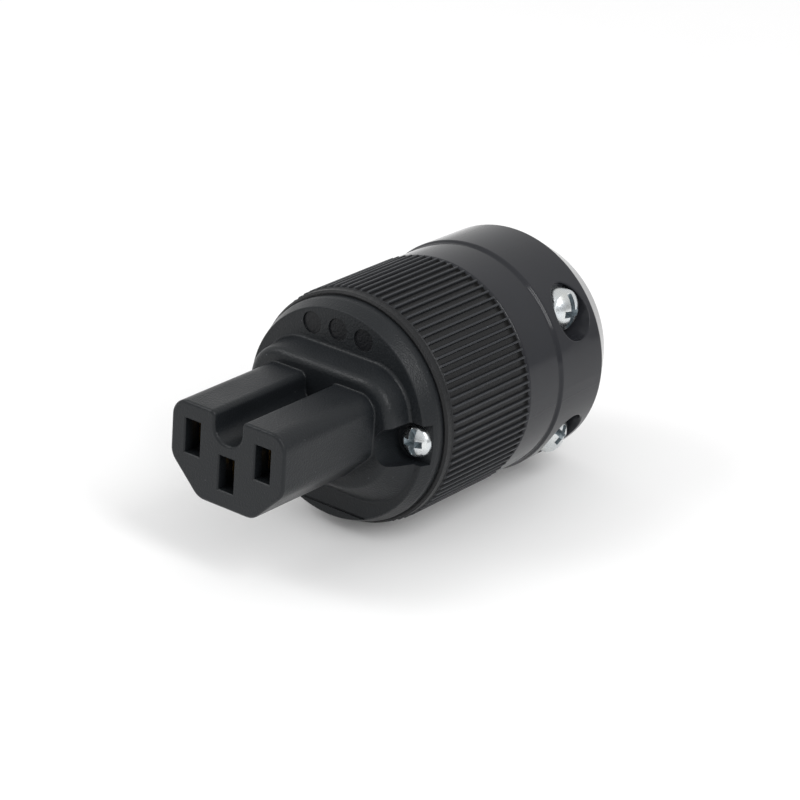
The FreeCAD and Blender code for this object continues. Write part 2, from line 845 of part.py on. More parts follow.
def hexagon(sketch, x, y, flats):
    """Hexagon with two flats facing up and down."""
    half, corner, point = "(%s) / 2" % flats, "(%s) / 2 * tan(30 deg)" % flats, "(%s) / sqrt(3)" % flats
    outline(sketch, [
        ("%s + %s" % (x, point), y),
        ("%s + %s" % (x, corner), "%s + %s" % (y, half)),
        ("%s - %s" % (x, corner), "%s + %s" % (y, half)),
        ("%s - %s" % (x, point), y),
        ("%s - %s" % (x, corner), "%s - %s" % (y, half)),
        ("%s + %s" % (x, corner), "%s - %s" % (y, half)),
    ])


def cord_clamp_jaw():
    """Moving saddle with a nut trap in each ear and three grip grooves."""
    body = new_body("cord_clamp_jaw")
    section = across(body, "clamp_y - jaw_width / 2")
    tip = "sqrt(cord_radius ^ 2 - jaw_front ^ 2)"
    outline(section, [
        ("-jaw_back", "jaw_corner - jaw_half"),
        ("jaw_corner - jaw_back", "-jaw_half"),
        ("-jaw_front", "-jaw_half"),
        ("-jaw_front", "-" + tip),
        ("-jaw_front", tip),
        ("-jaw_front", "jaw_half"),
        ("jaw_corner - jaw_back", "jaw_half"),
        ("-jaw_back", "jaw_half - jaw_corner"),
    ], {3: ("cord_radius", -1)})
    pad_back(body, section, "jaw_width")
    for z in ("clamp_offset", "-clamp_offset"):
        hole = new_sketch(body, "YZ_Plane", "-jaw_front")
        circle(hole, "clamp_y", z, "jaw_hole")
        pocket(body, hole, "jaw_back - jaw_front")
        trap = new_sketch(body, "YZ_Plane", "-jaw_back")
        hexagon(trap, "clamp_y", z, "nut_flats + 2 * nut_play")
        pocket(body, trap, "nut_height + nut_inset", reverse=True)
    teeth = new_sketch(body, "XY_Plane")
    for step in ("-tooth_pitch", "0", "tooth_pitch"):
        middle = "clamp_y + " + step
        outline(teeth, [
            ("cord_radius - tooth_depth", middle + " - tooth_half"),
            ("cord_radius + tooth_depth", middle),
            ("cord_radius - tooth_depth", middle + " + tooth_half"),
        ])
    turned_cut(body, teeth)


def clamp_nut(label, z):
    body = new_body(label)
    sketch = new_sketch(body, "YZ_Plane")
    hexagon(sketch, "0", "0", "nut_flats")
    circle(sketch, "0", "0", "nut_hole")
    pad(body, sketch, "nut_height")
    place(body, "nut_inset - jaw_back", "clamp_y", z)


def cord_clamp():
    cord_clamp_jaw()
    for name, z in (("upper", "clamp_offset"), ("lower", "-clamp_offset")):
        body = screw(name + "_clamp_screw", "clamp_head_radius", "clamp_head_height",
                     "screw_shank", "clamp_length")
        place(body, "clamp_seat", "clamp_y", z, Rotation(Vector(0, 1, 0), 90))
        clamp_nut(name + "_clamp_nut", z)


def threaded_insert(label, x):
    """Brass insert with a collar at its mouth."""
    body = new_body(label)
    profile = new_sketch(body, "XY_Plane")
    outline(profile, [
        ("insert_hole", "0"),
        ("insert_flange_radius", "0"),
        ("insert_flange_radius", "insert_flange"),
        ("insert_radius", "insert_flange"),
        ("insert_radius", "insert_length"),
        ("insert_hole", "insert_length"),
    ])
    revolve(body, profile)
    place(body, x, "sleeve_back")


def assembly_fasteners():
    for side, x in (("right", "tie_offset"), ("left", "-tie_offset")):
        body = screw(side + "_assembly_screw", "tie_head_radius", "tie_head_height",
                     "screw_shank", "tie_length")
        slot_upright = Rotation(Vector(0, 0, 1), 90)
        place(body, x, "tie_seat", "0", Rotation(Vector(1, 0, 0), 90) * slot_upright)
        threaded_insert(side + "_threaded_insert", x)


front_body()
terminals()
contact_retainer()
ribbed_sleeve()
rear_housing()
cord_clamp()
assembly_fasteners()
doc.recompute()

for item in doc.Objects:
    if "Invalid" in item.State or "Error" in item.State:
        raise RuntimeError("%s failed: %s" % (item.Label, item.State))

bodies = [item for item in doc.Objects if item.TypeId == "PartDesign::Body"]
for body in bodies:
    if body.Shape.isNull() or not body.Shape.isValid() or len(body.Shape.Solids) != 1:
        raise RuntimeError("%s is not one valid solid" % body.Label)

os.makedirs("parts", exist_ok=True)
for body in bodies:
    body.Shape.exportStep("parts/%s.step" % body.Label)
    print("%-24s %9.1f mm3" % (body.Label, body.Shape.Volume))
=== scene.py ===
# %% [markdown]
# # A rewireable power connector
# The object is a black line connector: a matte front moulding with a keyed nose, a ribbed grip
# sleeve, and a glossy rear shell with two clamp screws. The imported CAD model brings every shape
# that has to fit, so this lesson gives each of those shapes its surface, makes the screws again
# with the threads, domes and recesses that a CAD stand-in lacks, and sets up the picture.

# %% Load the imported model
import math

import bmesh
import bpy
from mathutils import Matrix, Vector


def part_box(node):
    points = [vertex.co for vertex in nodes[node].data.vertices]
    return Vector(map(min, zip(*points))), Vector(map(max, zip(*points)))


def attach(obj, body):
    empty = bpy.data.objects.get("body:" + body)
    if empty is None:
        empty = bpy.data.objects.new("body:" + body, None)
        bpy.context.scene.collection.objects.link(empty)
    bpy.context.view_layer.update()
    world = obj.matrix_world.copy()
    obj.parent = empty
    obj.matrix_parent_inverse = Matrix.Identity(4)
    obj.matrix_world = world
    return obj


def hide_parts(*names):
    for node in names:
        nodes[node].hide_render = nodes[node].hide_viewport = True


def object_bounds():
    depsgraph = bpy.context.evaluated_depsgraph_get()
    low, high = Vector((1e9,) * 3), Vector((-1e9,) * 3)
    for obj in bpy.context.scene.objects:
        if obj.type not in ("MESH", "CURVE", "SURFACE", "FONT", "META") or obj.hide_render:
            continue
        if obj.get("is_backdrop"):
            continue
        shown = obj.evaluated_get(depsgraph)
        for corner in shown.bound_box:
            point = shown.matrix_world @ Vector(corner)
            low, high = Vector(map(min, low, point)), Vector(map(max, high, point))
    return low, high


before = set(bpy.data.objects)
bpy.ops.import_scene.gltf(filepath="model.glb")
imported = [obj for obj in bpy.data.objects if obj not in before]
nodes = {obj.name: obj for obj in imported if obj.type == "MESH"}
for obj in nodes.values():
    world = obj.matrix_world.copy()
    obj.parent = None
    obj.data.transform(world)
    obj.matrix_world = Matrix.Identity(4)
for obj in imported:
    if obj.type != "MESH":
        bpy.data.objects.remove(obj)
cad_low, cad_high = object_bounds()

MM = 0.001
scene = bpy.context.scene

# %% [markdown]
# ## The camera
# A long lens keeps the nose from looking larger than the shell, as in a catalogue picture. The
# camera stands in front, to the right and above, and is turned a few degrees about its own axis.
# It could be aimed at a target, but a target leaves that last turn out, so its three directions
# are written as a matrix.

# %% Camera
SENSOR_MM = 36.0
LENS_MM = 151.86
CAMERA_PLACE = Vector((297.68, -361.58, 214.82)) * MM
CAMERA_RIGHT = Vector((0.7875, 0.612992, 0.063905))
CAMERA_DOWN = Vector((0.290652, -0.277947, -0.915569))
CAMERA_FORWARD = Vector((-0.543475, 0.739585, -0.397051))

camera_data = bpy.data.cameras.new("studio_camera")
camera_data.sensor_width = SENSOR_MM
camera_data.lens = LENS_MM
camera_data.clip_start = 0.01
camera_data.clip_end = 20.0
camera = bpy.data.objects.new("studio_camera", camera_data)
scene.collection.objects.link(camera)
camera_turn = Matrix((CAMERA_RIGHT, -CAMERA_DOWN, -CAMERA_FORWARD)).transposed()
camera.matrix_world = Matrix.Translation(CAMERA_PLACE) @ camera_turn.to_4x4()
scene.camera = camera
print("camera at", [round(v, 3) for v in CAMERA_PLACE])

# %% [markdown]
# ## Colours and nodes
# Colours are picked as sRGB hex values, as a colour picker shows them, but shaders work with
# linear light, so one function converts them. One more function adds a node, sets it and links
# it, which keeps each material below short enough to read.

# %% Helpers for colours and nodes
# A Mix node has sockets of the same name for numbers and for colours, so they go by their places
FACTOR, NUMBER_A, NUMBER_B, COLOUR_A, COLOUR_B = 0, 2, 3, 6, 7
MIXED_NUMBER, MIXED_COLOUR = 0, 2


def linear(code):
    """Linear RGBA of a colour written as #rrggbb."""
    parts = [int(code[k:k + 2], 16) / 255 for k in (1, 3, 5)]
    return [c / 12.92 if c <= 0.04045 else ((c + 0.055) / 1.055) ** 2.4 for c in parts] + [1.0]


def add(tree, kind, links=None, values=None, **settings):
    """Add a node, set its properties and its sockets, and link other sockets into it."""
    node = tree.nodes.new(kind)
    for name, value in settings.items():
        setattr(node, name, value)
    for name, value in (values or {}).items():
        node.inputs[name].default_value = value
    for name, source in (links or {}).items():
        tree.links.new(source, node.inputs[name])
    return node


def per_metre(size_mm):
    """Texture scale that makes one feature as wide as size_mm on Object coordinates."""
    return 1.0 / (size_mm * MM)


def new_material(name):
    """Empty material with a shader: the material, its tree, the shader and Object coordinates."""
    material = bpy.data.materials.new(name)
    material.use_nodes = True
    tree = material.node_tree
    tree.nodes.clear()
    shader = add(tree, "ShaderNodeBsdfPrincipled")
    add(tree, "ShaderNodeOutputMaterial", {"Surface": shader.outputs["BSDF"]})
    place = add(tree, "ShaderNodeTexCoord").outputs["Object"]
    return material, tree, shader, place


print("mid grey is", [round(c, 3) for c in linear("#808080")])

# %% [markdown]
# ## Matte black nylon
# The front moulding and the sleeve are glass-filled nylon from a spark-eroded mould. Such a mould
# leaves a fine even grain that spreads the light, so the black looks soft grey where it is lit.
# The plastic's flow leaves faint clouds some millimetres wide, and handling leaves pale dust.
# A picture of such a surface could be wrapped round the pieces, but it would stretch over their
# edges. Noise on Object coordinates has the same size everywhere.
# The grain is about 0.1 mm across, and is drawn at 0.3 mm so that it shows at this image size.
# No moulded edge is sharp: a Bevel node rounds the shading at each edge, so that it catches a
# thin line of light, without touching the CAD mesh.

# %% Matte nylon
NYLON_IOR = 1.53
CLOUD_MM = 7.0
GRAIN_MM = 0.3
GRAIN_HEIGHT_MM = 0.09
SPECK_SPACING_MM = 2.6
DUST = "#74767a"
SHEEN_SWING = 0.05
EDGE_SAMPLES = 6
# Nearly all of a noise lies between these two values
NOISE_LOW = 0.3
NOISE_HIGH = 0.7


def matte_nylon(name, dark, light, rough, gloss, edge_mm):
    """Grained black nylon between two colours, with its roughness, specular level and edge radius."""
    material, tree, shader, place = new_material(name)
    cloud = add(tree, "ShaderNodeTexNoise", {"Vector": place},
                {"Scale": per_metre(CLOUD_MM), "Detail": 4.0})
    grain = add(tree, "ShaderNodeTexNoise", {"Vector": place},
                {"Scale": per_metre(GRAIN_MM), "Detail": 2.0})
    dust = add(tree, "ShaderNodeTexVoronoi", {"Vector": place},
               {"Scale": per_metre(SPECK_SPACING_MM)})
    speck = add(tree, "ShaderNodeMapRange", {"Value": dust.outputs["Distance"]},
                {"From Min": 0.02, "From Max": 0.06, "To Min": 0.35, "To Max": 0.0})
    black = add(tree, "ShaderNodeMix", {FACTOR: cloud.outputs["Fac"]},
                {COLOUR_A: linear(dark), COLOUR_B: linear(light)}, data_type="RGBA")
    mottled = add(tree, "ShaderNodeMix",
                  {FACTOR: grain.outputs["Fac"], COLOUR_A: black.outputs[MIXED_COLOUR]},
                  {COLOUR_B: linear(light)}, data_type="RGBA")
    dusty = add(tree, "ShaderNodeMix",
                {FACTOR: speck.outputs["Result"], COLOUR_A: mottled.outputs[MIXED_COLOUR]},
                {COLOUR_B: linear(DUST)}, data_type="RGBA")
    sheen = add(tree, "ShaderNodeMapRange", {"Value": cloud.outputs["Fac"]},
                {"From Min": NOISE_LOW, "From Max": NOISE_HIGH,
                 "To Min": rough - SHEEN_SWING, "To Max": rough + SHEEN_SWING})
    edge = add(tree, "ShaderNodeBevel", None, {"Radius": edge_mm * MM}, samples=EDGE_SAMPLES)
    bump = add(tree, "ShaderNodeBump",
               {"Height": grain.outputs["Fac"], "Normal": edge.outputs["Normal"]},
               {"Strength": 0.8, "Distance": GRAIN_HEIGHT_MM * MM})
    tree.links.new(dusty.outputs[MIXED_COLOUR], shader.inputs["Base Color"])
    tree.links.new(sheen.outputs["Result"], shader.inputs["Roughness"])
    tree.links.new(bump.outputs["Normal"], shader.inputs["Normal"])
    shader.inputs["IOR"].default_value = NYLON_IOR
    shader.inputs["Specular IOR Level"].default_value = gloss
    return material


front_nylon = matte_nylon("spark_eroded_nylon", "#141618", "#1c1f22", 0.36, 0.24, 0.1)
sleeve_nylon = matte_nylon("grip_nylon", "#232528", "#2c2e32", 0.42, 0.27, 0.05)
inner_nylon = matte_nylon("inner_nylon", "#303134", "#3a3b3e", 0.55, 0.5, 0.15)
print("made", front_nylon.name, sleeve_nylon.name, inner_nylon.name)

# %% [markdown]
# ### Insert marks
# Three round inserts in the mould leave shallow discs on the flange, above the nose. The end of an
# insert is polished, and its disc is painted a deeper black than the grained face round it, as
# painted shade. The discs could have a material of their own, but the faces of a imported mesh are
# in no groups. The distance from an insert's centre, measured across the body, tells the disc from the
# face instead.

# %% Insert marks
INSERT_RADIUS = 1.84 * MM
INSERT_CENTRES_MM = [(-5.75, 14.0), (-0.6, 14.3), (4.55, 14.0)]
tree = front_nylon.node_tree
shader = tree.nodes["Principled BSDF"]
face = shader.inputs["Base Color"].links[0].from_socket
place = add(tree, "ShaderNodeTexCoord").outputs["Object"]
across = add(tree, "ShaderNodeMapping", {"Vector": place}, {"Scale": (1.0, 0.0, 1.0)})
for x, z in INSERT_CENTRES_MM:
    reach = add(tree, "ShaderNodeVectorMath", {0: across.outputs["Vector"]},
                {1: (x * MM, 0.0, z * MM)}, operation="DISTANCE")
    disc = add(tree, "ShaderNodeMath", {0: reach.outputs["Value"]}, {1: INSERT_RADIUS},
               operation="LESS_THAN")
    # Painted shade: each insert disc is mixed towards a deeper black
    shaded_disc = add(tree, "ShaderNodeMix", {FACTOR: disc.outputs["Value"], COLOUR_A: face},
                   {COLOUR_B: linear("#0b0d11")}, data_type="RGBA")
    face = shaded_disc.outputs[MIXED_COLOUR]
tree.links.new(face, shader.inputs["Base Color"])
print("insert marks:", len(INSERT_CENTRES_MM))

# %% [markdown]
# ### Worn rib crests and painted shade in the valleys
# Hands scuff the tops of the grip ribs to a lighter grey, and the valleys between them are painted
# near black, as painted shade where the ribs shade each other. A painted map could show that, but the
# ribs would have to be unwrapped for it. The distance from the body's axis tells a crest from a valley
# just as well: a mapping drops the lengthwise coordinate, and the length of what is left gives the
# mix.

# %% Worn rib crests and painted valley shade
RIB_DEPTH = 0.4 * MM
crest_radius = Vector(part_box("ribbed_sleeve")[1]).x
tree = sleeve_nylon.node_tree
shader = tree.nodes["Principled BSDF"]
scuffed = shader.inputs["Base Color"].links[0].from_socket
place = add(tree, "ShaderNodeTexCoord").outputs["Object"]
across = add(tree, "ShaderNodeMapping", {"Vector": place}, {"Scale": (1.0, 0.0, 1.0)})
radius = add(tree, "ShaderNodeVectorMath", {0: across.outputs["Vector"]}, operation="LENGTH")
crest = add(tree, "ShaderNodeMapRange", {"Value": radius.outputs["Value"]},
            {"From Min": crest_radius - RIB_DEPTH, "From Max": crest_radius})
# Painted shade: the valleys between the ribs are mixed towards near black
scuffed_crests_shaded_valleys = add(tree, "ShaderNodeMix", {FACTOR: crest.outputs["Result"], COLOUR_B: scuffed},
           {COLOUR_A: linear("#0f1012")}, data_type="RGBA")
print("ribs crest at", round(crest_radius / MM, 2), "mm")

# %% [markdown]
# ### Painted shade at the ends of the valleys
# The last millimetre of each valley, where the shell stops it, is painted nearly black as painted
# shade, and is made quite dull. The shade lies where a point is both far back and low between the
# ribs, so the two measures are multiplied.

# %% Painted shade at the valley ends
VALLEY_SHADE_LENGTH = 1.5 * MM
valley_end = Vector(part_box("ribbed_sleeve")[1]).y
lengthwise = add(tree, "ShaderNodeSeparateXYZ", {"Vector": place})
near_shell = add(tree, "ShaderNodeMapRange", {"Value": lengthwise.outputs["Y"]},
             {"From Min": valley_end - VALLEY_SHADE_LENGTH, "From Max": valley_end - VALLEY_SHADE_LENGTH / 3})
low_down = add(tree, "ShaderNodeMath", {1: crest.outputs["Result"]}, {0: 1.0}, operation="SUBTRACT")
valley_end_shade = add(tree, "ShaderNodeMath", {0: near_shell.outputs["Result"], 1: low_down.outputs["Value"]},
            operation="MULTIPLY")
# Painted shade: the last of each valley is mixed towards black
shaded_valley_ends = add(tree, "ShaderNodeMix",
            {FACTOR: valley_end_shade.outputs["Value"], COLOUR_A: scuffed_crests_shaded_valleys.outputs[MIXED_COLOUR]},
            {COLOUR_B: linear("#040404")}, data_type="RGBA")
smooth = shader.inputs["Roughness"].links[0].from_socket
dull = add(tree, "ShaderNodeMix", {FACTOR: valley_end_shade.outputs["Value"], NUMBER_A: smooth}, {NUMBER_B: 1.0})
tree.links.new(shaded_valley_ends.outputs[MIXED_COLOUR], shader.inputs["Base Color"])
tree.links.new(dull.outputs[MIXED_NUMBER], shader.inputs["Roughness"])
print("valleys end at", round(valley_end / MM, 2), "mm")

# %% [markdown]
# ## Glossy black shell
# The rear shell comes from a polished mould, so it mirrors the studio. A clear coat could give the
# gloss, but this plastic is glossy by itself, so a low roughness does it. Moulded plastic is never
# quite flat: a very shallow ripple some millimetres wide bends the reflections, and handling
# leaves hairlines. A hairline is about 0.02 mm wide, and is drawn at 0.12 mm so that it shows.
# The noise of the hairlines is stretched along the body, the way a hand and a box wipe it.

# %% Polished nylon
RIPPLE_MM = 9.0
HAIRLINE_MM = 0.12
HAIRLINE_LENGTH_MM = 6.0
SHELL_EDGE = 0.25 * MM

polished_nylon, tree, shader, place = new_material("polished_nylon")
ripple = add(tree, "ShaderNodeTexNoise", {"Vector": place},
             {"Scale": per_metre(RIPPLE_MM), "Detail": 1.0})
along = add(tree, "ShaderNodeMapping", {"Vector": place},
            {"Scale": (per_metre(HAIRLINE_MM), per_metre(HAIRLINE_LENGTH_MM), per_metre(HAIRLINE_MM))})
hairline = add(tree, "ShaderNodeTexNoise", {"Vector": along.outputs["Vector"]},
               {"Scale": 1.0, "Detail": 1.0})
wiped = add(tree, "ShaderNodeMapRange", {"Value": hairline.outputs["Fac"]},
            {"From Min": 0.55, "From Max": 0.8, "To Min": 0.1, "To Max": 0.22})
tint = add(tree, "ShaderNodeMix", {FACTOR: ripple.outputs["Fac"]},
           {COLOUR_A: linear("#27282b"), COLOUR_B: linear("#2c2d31")}, data_type="RGBA")
edge = add(tree, "ShaderNodeBevel", None, {"Radius": SHELL_EDGE}, samples=EDGE_SAMPLES)
bump = add(tree, "ShaderNodeBump",
           {"Height": ripple.outputs["Fac"], "Normal": edge.outputs["Normal"]},
           {"Strength": 0.2, "Distance": 0.05 * MM})
tree.links.new(tint.outputs[MIXED_COLOUR], shader.inputs["Base Color"])
tree.links.new(wiped.outputs["Result"], shader.inputs["Roughness"])
tree.links.new(bump.outputs["Normal"], shader.inputs["Normal"])
shader.inputs["IOR"].default_value = NYLON_IOR
shader.inputs["Specular IOR Level"].default_value = 0.2
print("made", polished_nylon.name)

# %% [markdown]
# ## Zinc plating
# The screws and nuts are steel with bright zinc plating: a cool white metal whose thin passivation
# film shifts from bluish to straw over a few millimetres. A plain grey metal would look like
# chrome, so the crystals of the plating frost the mirror unevenly. They are far finer than can be
# seen, and are drawn at 0.25 mm so that they show.

# %% Zinc plating
FILM_MM = 2.4
CRYSTAL_MM = 0.25

zinc, tree, shader, place = new_material("bright_zinc_plating")
film = add(tree, "ShaderNodeTexNoise", {"Vector": place}, {"Scale": per_metre(FILM_MM), "Detail": 3.0})
crystal = add(tree, "ShaderNodeTexNoise", {"Vector": place},
              {"Scale": per_metre(CRYSTAL_MM), "Detail": 2.0})
plating = add(tree, "ShaderNodeMix", {FACTOR: film.outputs["Fac"]},
              {COLOUR_A: linear("#c9d1da"), COLOUR_B: linear("#e0e0da")}, data_type="RGBA")
frost = add(tree, "ShaderNodeMapRange", {"Value": crystal.outputs["Fac"]},
            {"From Min": NOISE_LOW, "From Max": NOISE_HIGH, "To Min": 0.2, "To Max": 0.34})
bump = add(tree, "ShaderNodeBump", {"Height": crystal.outputs["Fac"]},
           {"Strength": 0.06, "Distance": 0.03 * MM})
tree.links.new(plating.outputs[MIXED_COLOUR], shader.inputs["Base Color"])
tree.links.new(frost.outputs["Result"], shader.inputs["Roughness"])
tree.links.new(bump.outputs["Normal"], shader.inputs["Normal"])
shader.inputs["Metallic"].default_value = 1.0
print("made", zinc.name)

# %% [markdown]
# ### Scraped zinc
# A screwdriver scrapes the drive recess to bare metal, and the recess is painted a dark teal grey
# mixed with it, as painted shade. The shade could be painted into the recess by its depth, but a
# second finish on the faces of the recess is simpler
# and ends exactly at its edges.

# %% Scraped zinc with painted shade
BITE_MM = 0.4

scraped_and_shaded, tree, shader, place = new_material("scraped_and_shaded_zinc")
bite = add(tree, "ShaderNodeTexNoise", {"Vector": place}, {"Scale": per_metre(BITE_MM), "Detail": 3.0})
# Painted shade: the recess faces are mixed with a dark teal grey
scrape_and_recess_shade = add(tree, "ShaderNodeMix", {FACTOR: bite.outputs["Fac"]},
            {COLOUR_A: linear("#55646d"), COLOUR_B: linear("#b5bfc4")}, data_type="RGBA")
scrape = add(tree, "ShaderNodeMapRange", {"Value": bite.outputs["Fac"]},
             {"From Min": NOISE_LOW, "From Max": NOISE_HIGH, "To Min": 0.3, "To Max": 0.55})
tree.links.new(scrape_and_recess_shade.outputs[MIXED_COLOUR], shader.inputs["Base Color"])
tree.links.new(scrape.outputs["Result"], shader.inputs["Roughness"])
shader.inputs["Metallic"].default_value = 0.7
print("made", scraped_and_shaded.name)

# %% [markdown]
# ## Rolled brass
# The contacts, clamp plates and inserts are brass, with fine streaks along the rolling direction
# and a brown tarnish in patches. Anisotropic shading could show the rolling, but stretched noise
# in the roughness does it without tangents. A streak is some hundredths of a millimetre wide, and
# is drawn at 0.3 mm so that it shows.

# %% Rolled brass
STREAK_MM = 0.3
STREAK_LENGTH_MM = 8.0
TARNISH_MM = 3.0

brass, tree, shader, place = new_material("rolled_brass")
rolled = add(tree, "ShaderNodeMapping", {"Vector": place},
             {"Scale": (per_metre(STREAK_MM), per_metre(STREAK_LENGTH_MM), per_metre(STREAK_MM))})
streak = add(tree, "ShaderNodeTexNoise", {"Vector": rolled.outputs["Vector"]},
             {"Scale": 1.0, "Detail": 2.0})
tarnish = add(tree, "ShaderNodeTexNoise", {"Vector": place},
              {"Scale": per_metre(TARNISH_MM), "Detail": 3.0})
sheet = add(tree, "ShaderNodeMix", {FACTOR: tarnish.outputs["Fac"]},
            {COLOUR_A: linear("#a8884c"), COLOUR_B: linear("#7d6134")}, data_type="RGBA")
dulled = add(tree, "ShaderNodeMapRange", {"Value": streak.outputs["Fac"]},
             {"From Min": NOISE_LOW, "From Max": NOISE_HIGH, "To Min": 0.24, "To Max": 0.42})
tree.links.new(sheet.outputs[MIXED_COLOUR], shader.inputs["Base Color"])
tree.links.new(dulled.outputs["Result"], shader.inputs["Roughness"])
shader.inputs["Metallic"].default_value = 1.0
print("made", brass.name)

# %% [markdown]
# ## Finishes on the CAD pieces
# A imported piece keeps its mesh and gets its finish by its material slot, so the shape that fits
# and the surface that shows stay apart. The mouldings are named one by one, and every other node
# is either a zinc-plated fastener or brass.

# %% Finishes on the CAD nodes
FINISHES = {
    "front_body": front_nylon,
    "ribbed_sleeve": sleeve_nylon,
    "rear_housing": polished_nylon,
    "contact_retainer": inner_nylon,
    "cord_clamp_jaw": inner_nylon,
}
for name, node in nodes.items():
    metal = zinc if "screw" in name or "nut" in name else brass
    node.data.materials.clear()
    node.data.materials.append(FINISHES.get(name, metal))
print("finished", len(nodes), "nodes")

# %% [markdown]
# ## The screws
# A real pan-head screw has a domed head with a rounded rim, a slot with a cross recess in it, and
# a rolled thread. A lathe turns the blank first, and so does this cell: a profile of a few vertices
# is drawn from the crown to the tip and spun about the axis. A cylinder could be scaled and beveled
# into a head, but its dome would not be a true arc.

# %% Screw blank
HEAD_STEPS = 48
DOME_STEPS = 9
RIM_ROUND = 0.3 * MM
CORE_SHARE = 0.8
TIP = 0.5 * MM
SAME_SPOT = 0.001 * MM


def draw_on(shape, vert, offset):
    """Extrude one more vertex of a profile and return it."""
    grown = bmesh.ops.extrude_vert_indiv(shape, verts=[vert])["verts"]
    bmesh.ops.translate(shape, verts=grown, vec=offset)
    return grown[0]


def screw_blank(head_radius, head_height, dome, shank_radius, length):
    """Closed blank along Z: dome up, seat at the origin, shank thinned to the thread's core."""
    shape = bmesh.new()
    ball = (head_radius ** 2 + dome ** 2) / (2 * dome)
    core = CORE_SHARE * shank_radius
    crown = bmesh.ops.create_vert(shape, co=(0, 0, head_height))["vert"]
    arc = bmesh.ops.spin(shape, geom=crown, cent=(0, 0, head_height - ball), axis=(0, 1, 0),
                         angle=math.asin(head_radius / ball), steps=DOME_STEPS)
    last = [item for item in arc["geom_last"] if isinstance(item, bmesh.types.BMVert)][0]
    for offset in ((0, 0, dome - head_height), (core - head_radius, 0, 0), (0, 0, TIP - length),
                   (-TIP, 0, -TIP), (TIP - core, 0, 0)):
        last = draw_on(shape, last, offset)
    bmesh.ops.spin(shape, geom=shape.verts[:] + shape.edges[:], cent=(0, 0, 0), axis=(0, 0, 1),
                   angle=2 * math.pi, steps=HEAD_STEPS, use_merge=True)
    bmesh.ops.remove_doubles(shape, verts=shape.verts, dist=SAME_SPOT)
    bmesh.ops.recalc_face_normals(shape, faces=shape.faces)
    rim_z = head_height - dome
    rim = [e for e in shape.edges if all(abs(v.co.z - rim_z) < SAME_SPOT for v in e.verts)]
    bmesh.ops.bevel(shape, geom=rim, offset=RIM_ROUND, offset_type="OFFSET", affect="EDGES",
                    segments=3, profile=0.5, material=-1)
    return shape


print("a blank is turned in", HEAD_STEPS, "steps")

# %% [markdown]
# ### Slot and cross recess
# A punch presses a slot and a tapered cross into the dome. Boolean modifiers could cut them, but
# they leave ragged faces on a dome. Here planes score the dome, and the faces between the cuts are
# pushed down into the slot and further down into the cross. The slot runs out on the dome's flank
# by itself, and every face below the dome gets the scraped finish with its painted shade.

# %% Slot and cross recess
SLOT_HALF = 0.55 * MM
CROSS_HALF = 1.75 * MM
SLOT_SHARE = 0.75
CROSS_SHARE = 1.05
CROSS_TAPER = 0.6
SCRAPED_SHADED_DEPTH = 0.1 * MM


def score(shape, height, point, normal):
    """Cut the faces above a height along a plane."""
    faces = [f for f in shape.faces if f.calc_center_median().z > height]
    edges = {e for f in faces for e in f.edges}
    verts = {v for f in faces for v in f.verts}
    bmesh.ops.bisect_plane(shape, geom=faces + list(edges) + list(verts), dist=SAME_SPOT,
                           plane_co=point, plane_no=normal)


def push_down(shape, faces, height, taper):
    """Extrude the faces and press the new ones flat at a height, drawn in towards the axis."""
    grown = bmesh.ops.extrude_face_region(shape, geom=faces)["geom"]
    bmesh.ops.delete(shape, geom=faces, context="FACES")
    verts = [item for item in grown if isinstance(item, bmesh.types.BMVert)]
    press = Matrix.Translation((0, 0, height)) @ Matrix.Diagonal((taper, taper, 0, 1))
    bmesh.ops.transform(shape, matrix=press, verts=verts)
    bmesh.ops.remove_doubles(shape, verts=shape.verts, dist=SAME_SPOT)
    bmesh.ops.dissolve_degenerate(shape, edges=shape.edges, dist=SAME_SPOT)


def cut_recess(shape, head_radius, head_height, dome):
    """Score a slot and a cross into the dome, push them down, and give them the scraped zinc with
    painted shade.
    """
    ball = (head_radius ** 2 + dome ** 2) / (2 * dome)
    reach = head_radius - RIM_ROUND
    slot_floor = head_height - SLOT_SHARE * dome
    cross_floor = head_height - CROSS_SHARE * dome
    side_top = head_height - dome
    score(shape, side_top, (0, 0, slot_floor), (0, 0, 1))
    for offset in (-CROSS_HALF, -SLOT_HALF, SLOT_HALF, CROSS_HALF):
        score(shape, slot_floor, (offset, 0, 0), (1, 0, 0))
        score(shape, slot_floor, (0, offset, 0), (0, 1, 0))
    slot = []
    for face in shape.faces:
        centre = face.calc_center_median()
        if centre.z > slot_floor and abs(centre.y) < SLOT_HALF:
            slot.append(face)
    push_down(shape, slot, slot_floor, 1.0)
    cross = []
    for face in shape.faces:
        x, y, z = face.calc_center_median()
        in_slot = abs(x) < CROSS_HALF and abs(y) < SLOT_HALF - SAME_SPOT
        across = abs(x) < SLOT_HALF - SAME_SPOT and abs(y) < CROSS_HALF - SAME_SPOT
        if z > slot_floor - SAME_SPOT and (in_slot or across):
            cross.append(face)
    push_down(shape, cross, cross_floor, CROSS_TAPER)
    for face in shape.faces:
        centre = face.calc_center_median()
        depth = ball - (centre - Vector((0, 0, head_height - ball))).length
        if depth > SCRAPED_SHADED_DEPTH and centre.z > cross_floor - SAME_SPOT and centre.xy.length < reach:
            face.material_index = 1


print("slots are", round(2 * SLOT_HALF / MM, 2), "mm wide")

# %% [markdown]
# ### Thread
# A thread is rolled: dies press a ridge up along a helix. A Screw modifier could sweep it, but it
# would have to be applied before the screw is turned to its place. The spin operator sweeps a small
# triangle along the axis as it turns, and two faces close its ends.

# %% Thread
THREAD_STEPS = 16
THREAD_WIDTH = 0.8
ROOT_SINK = 0.97


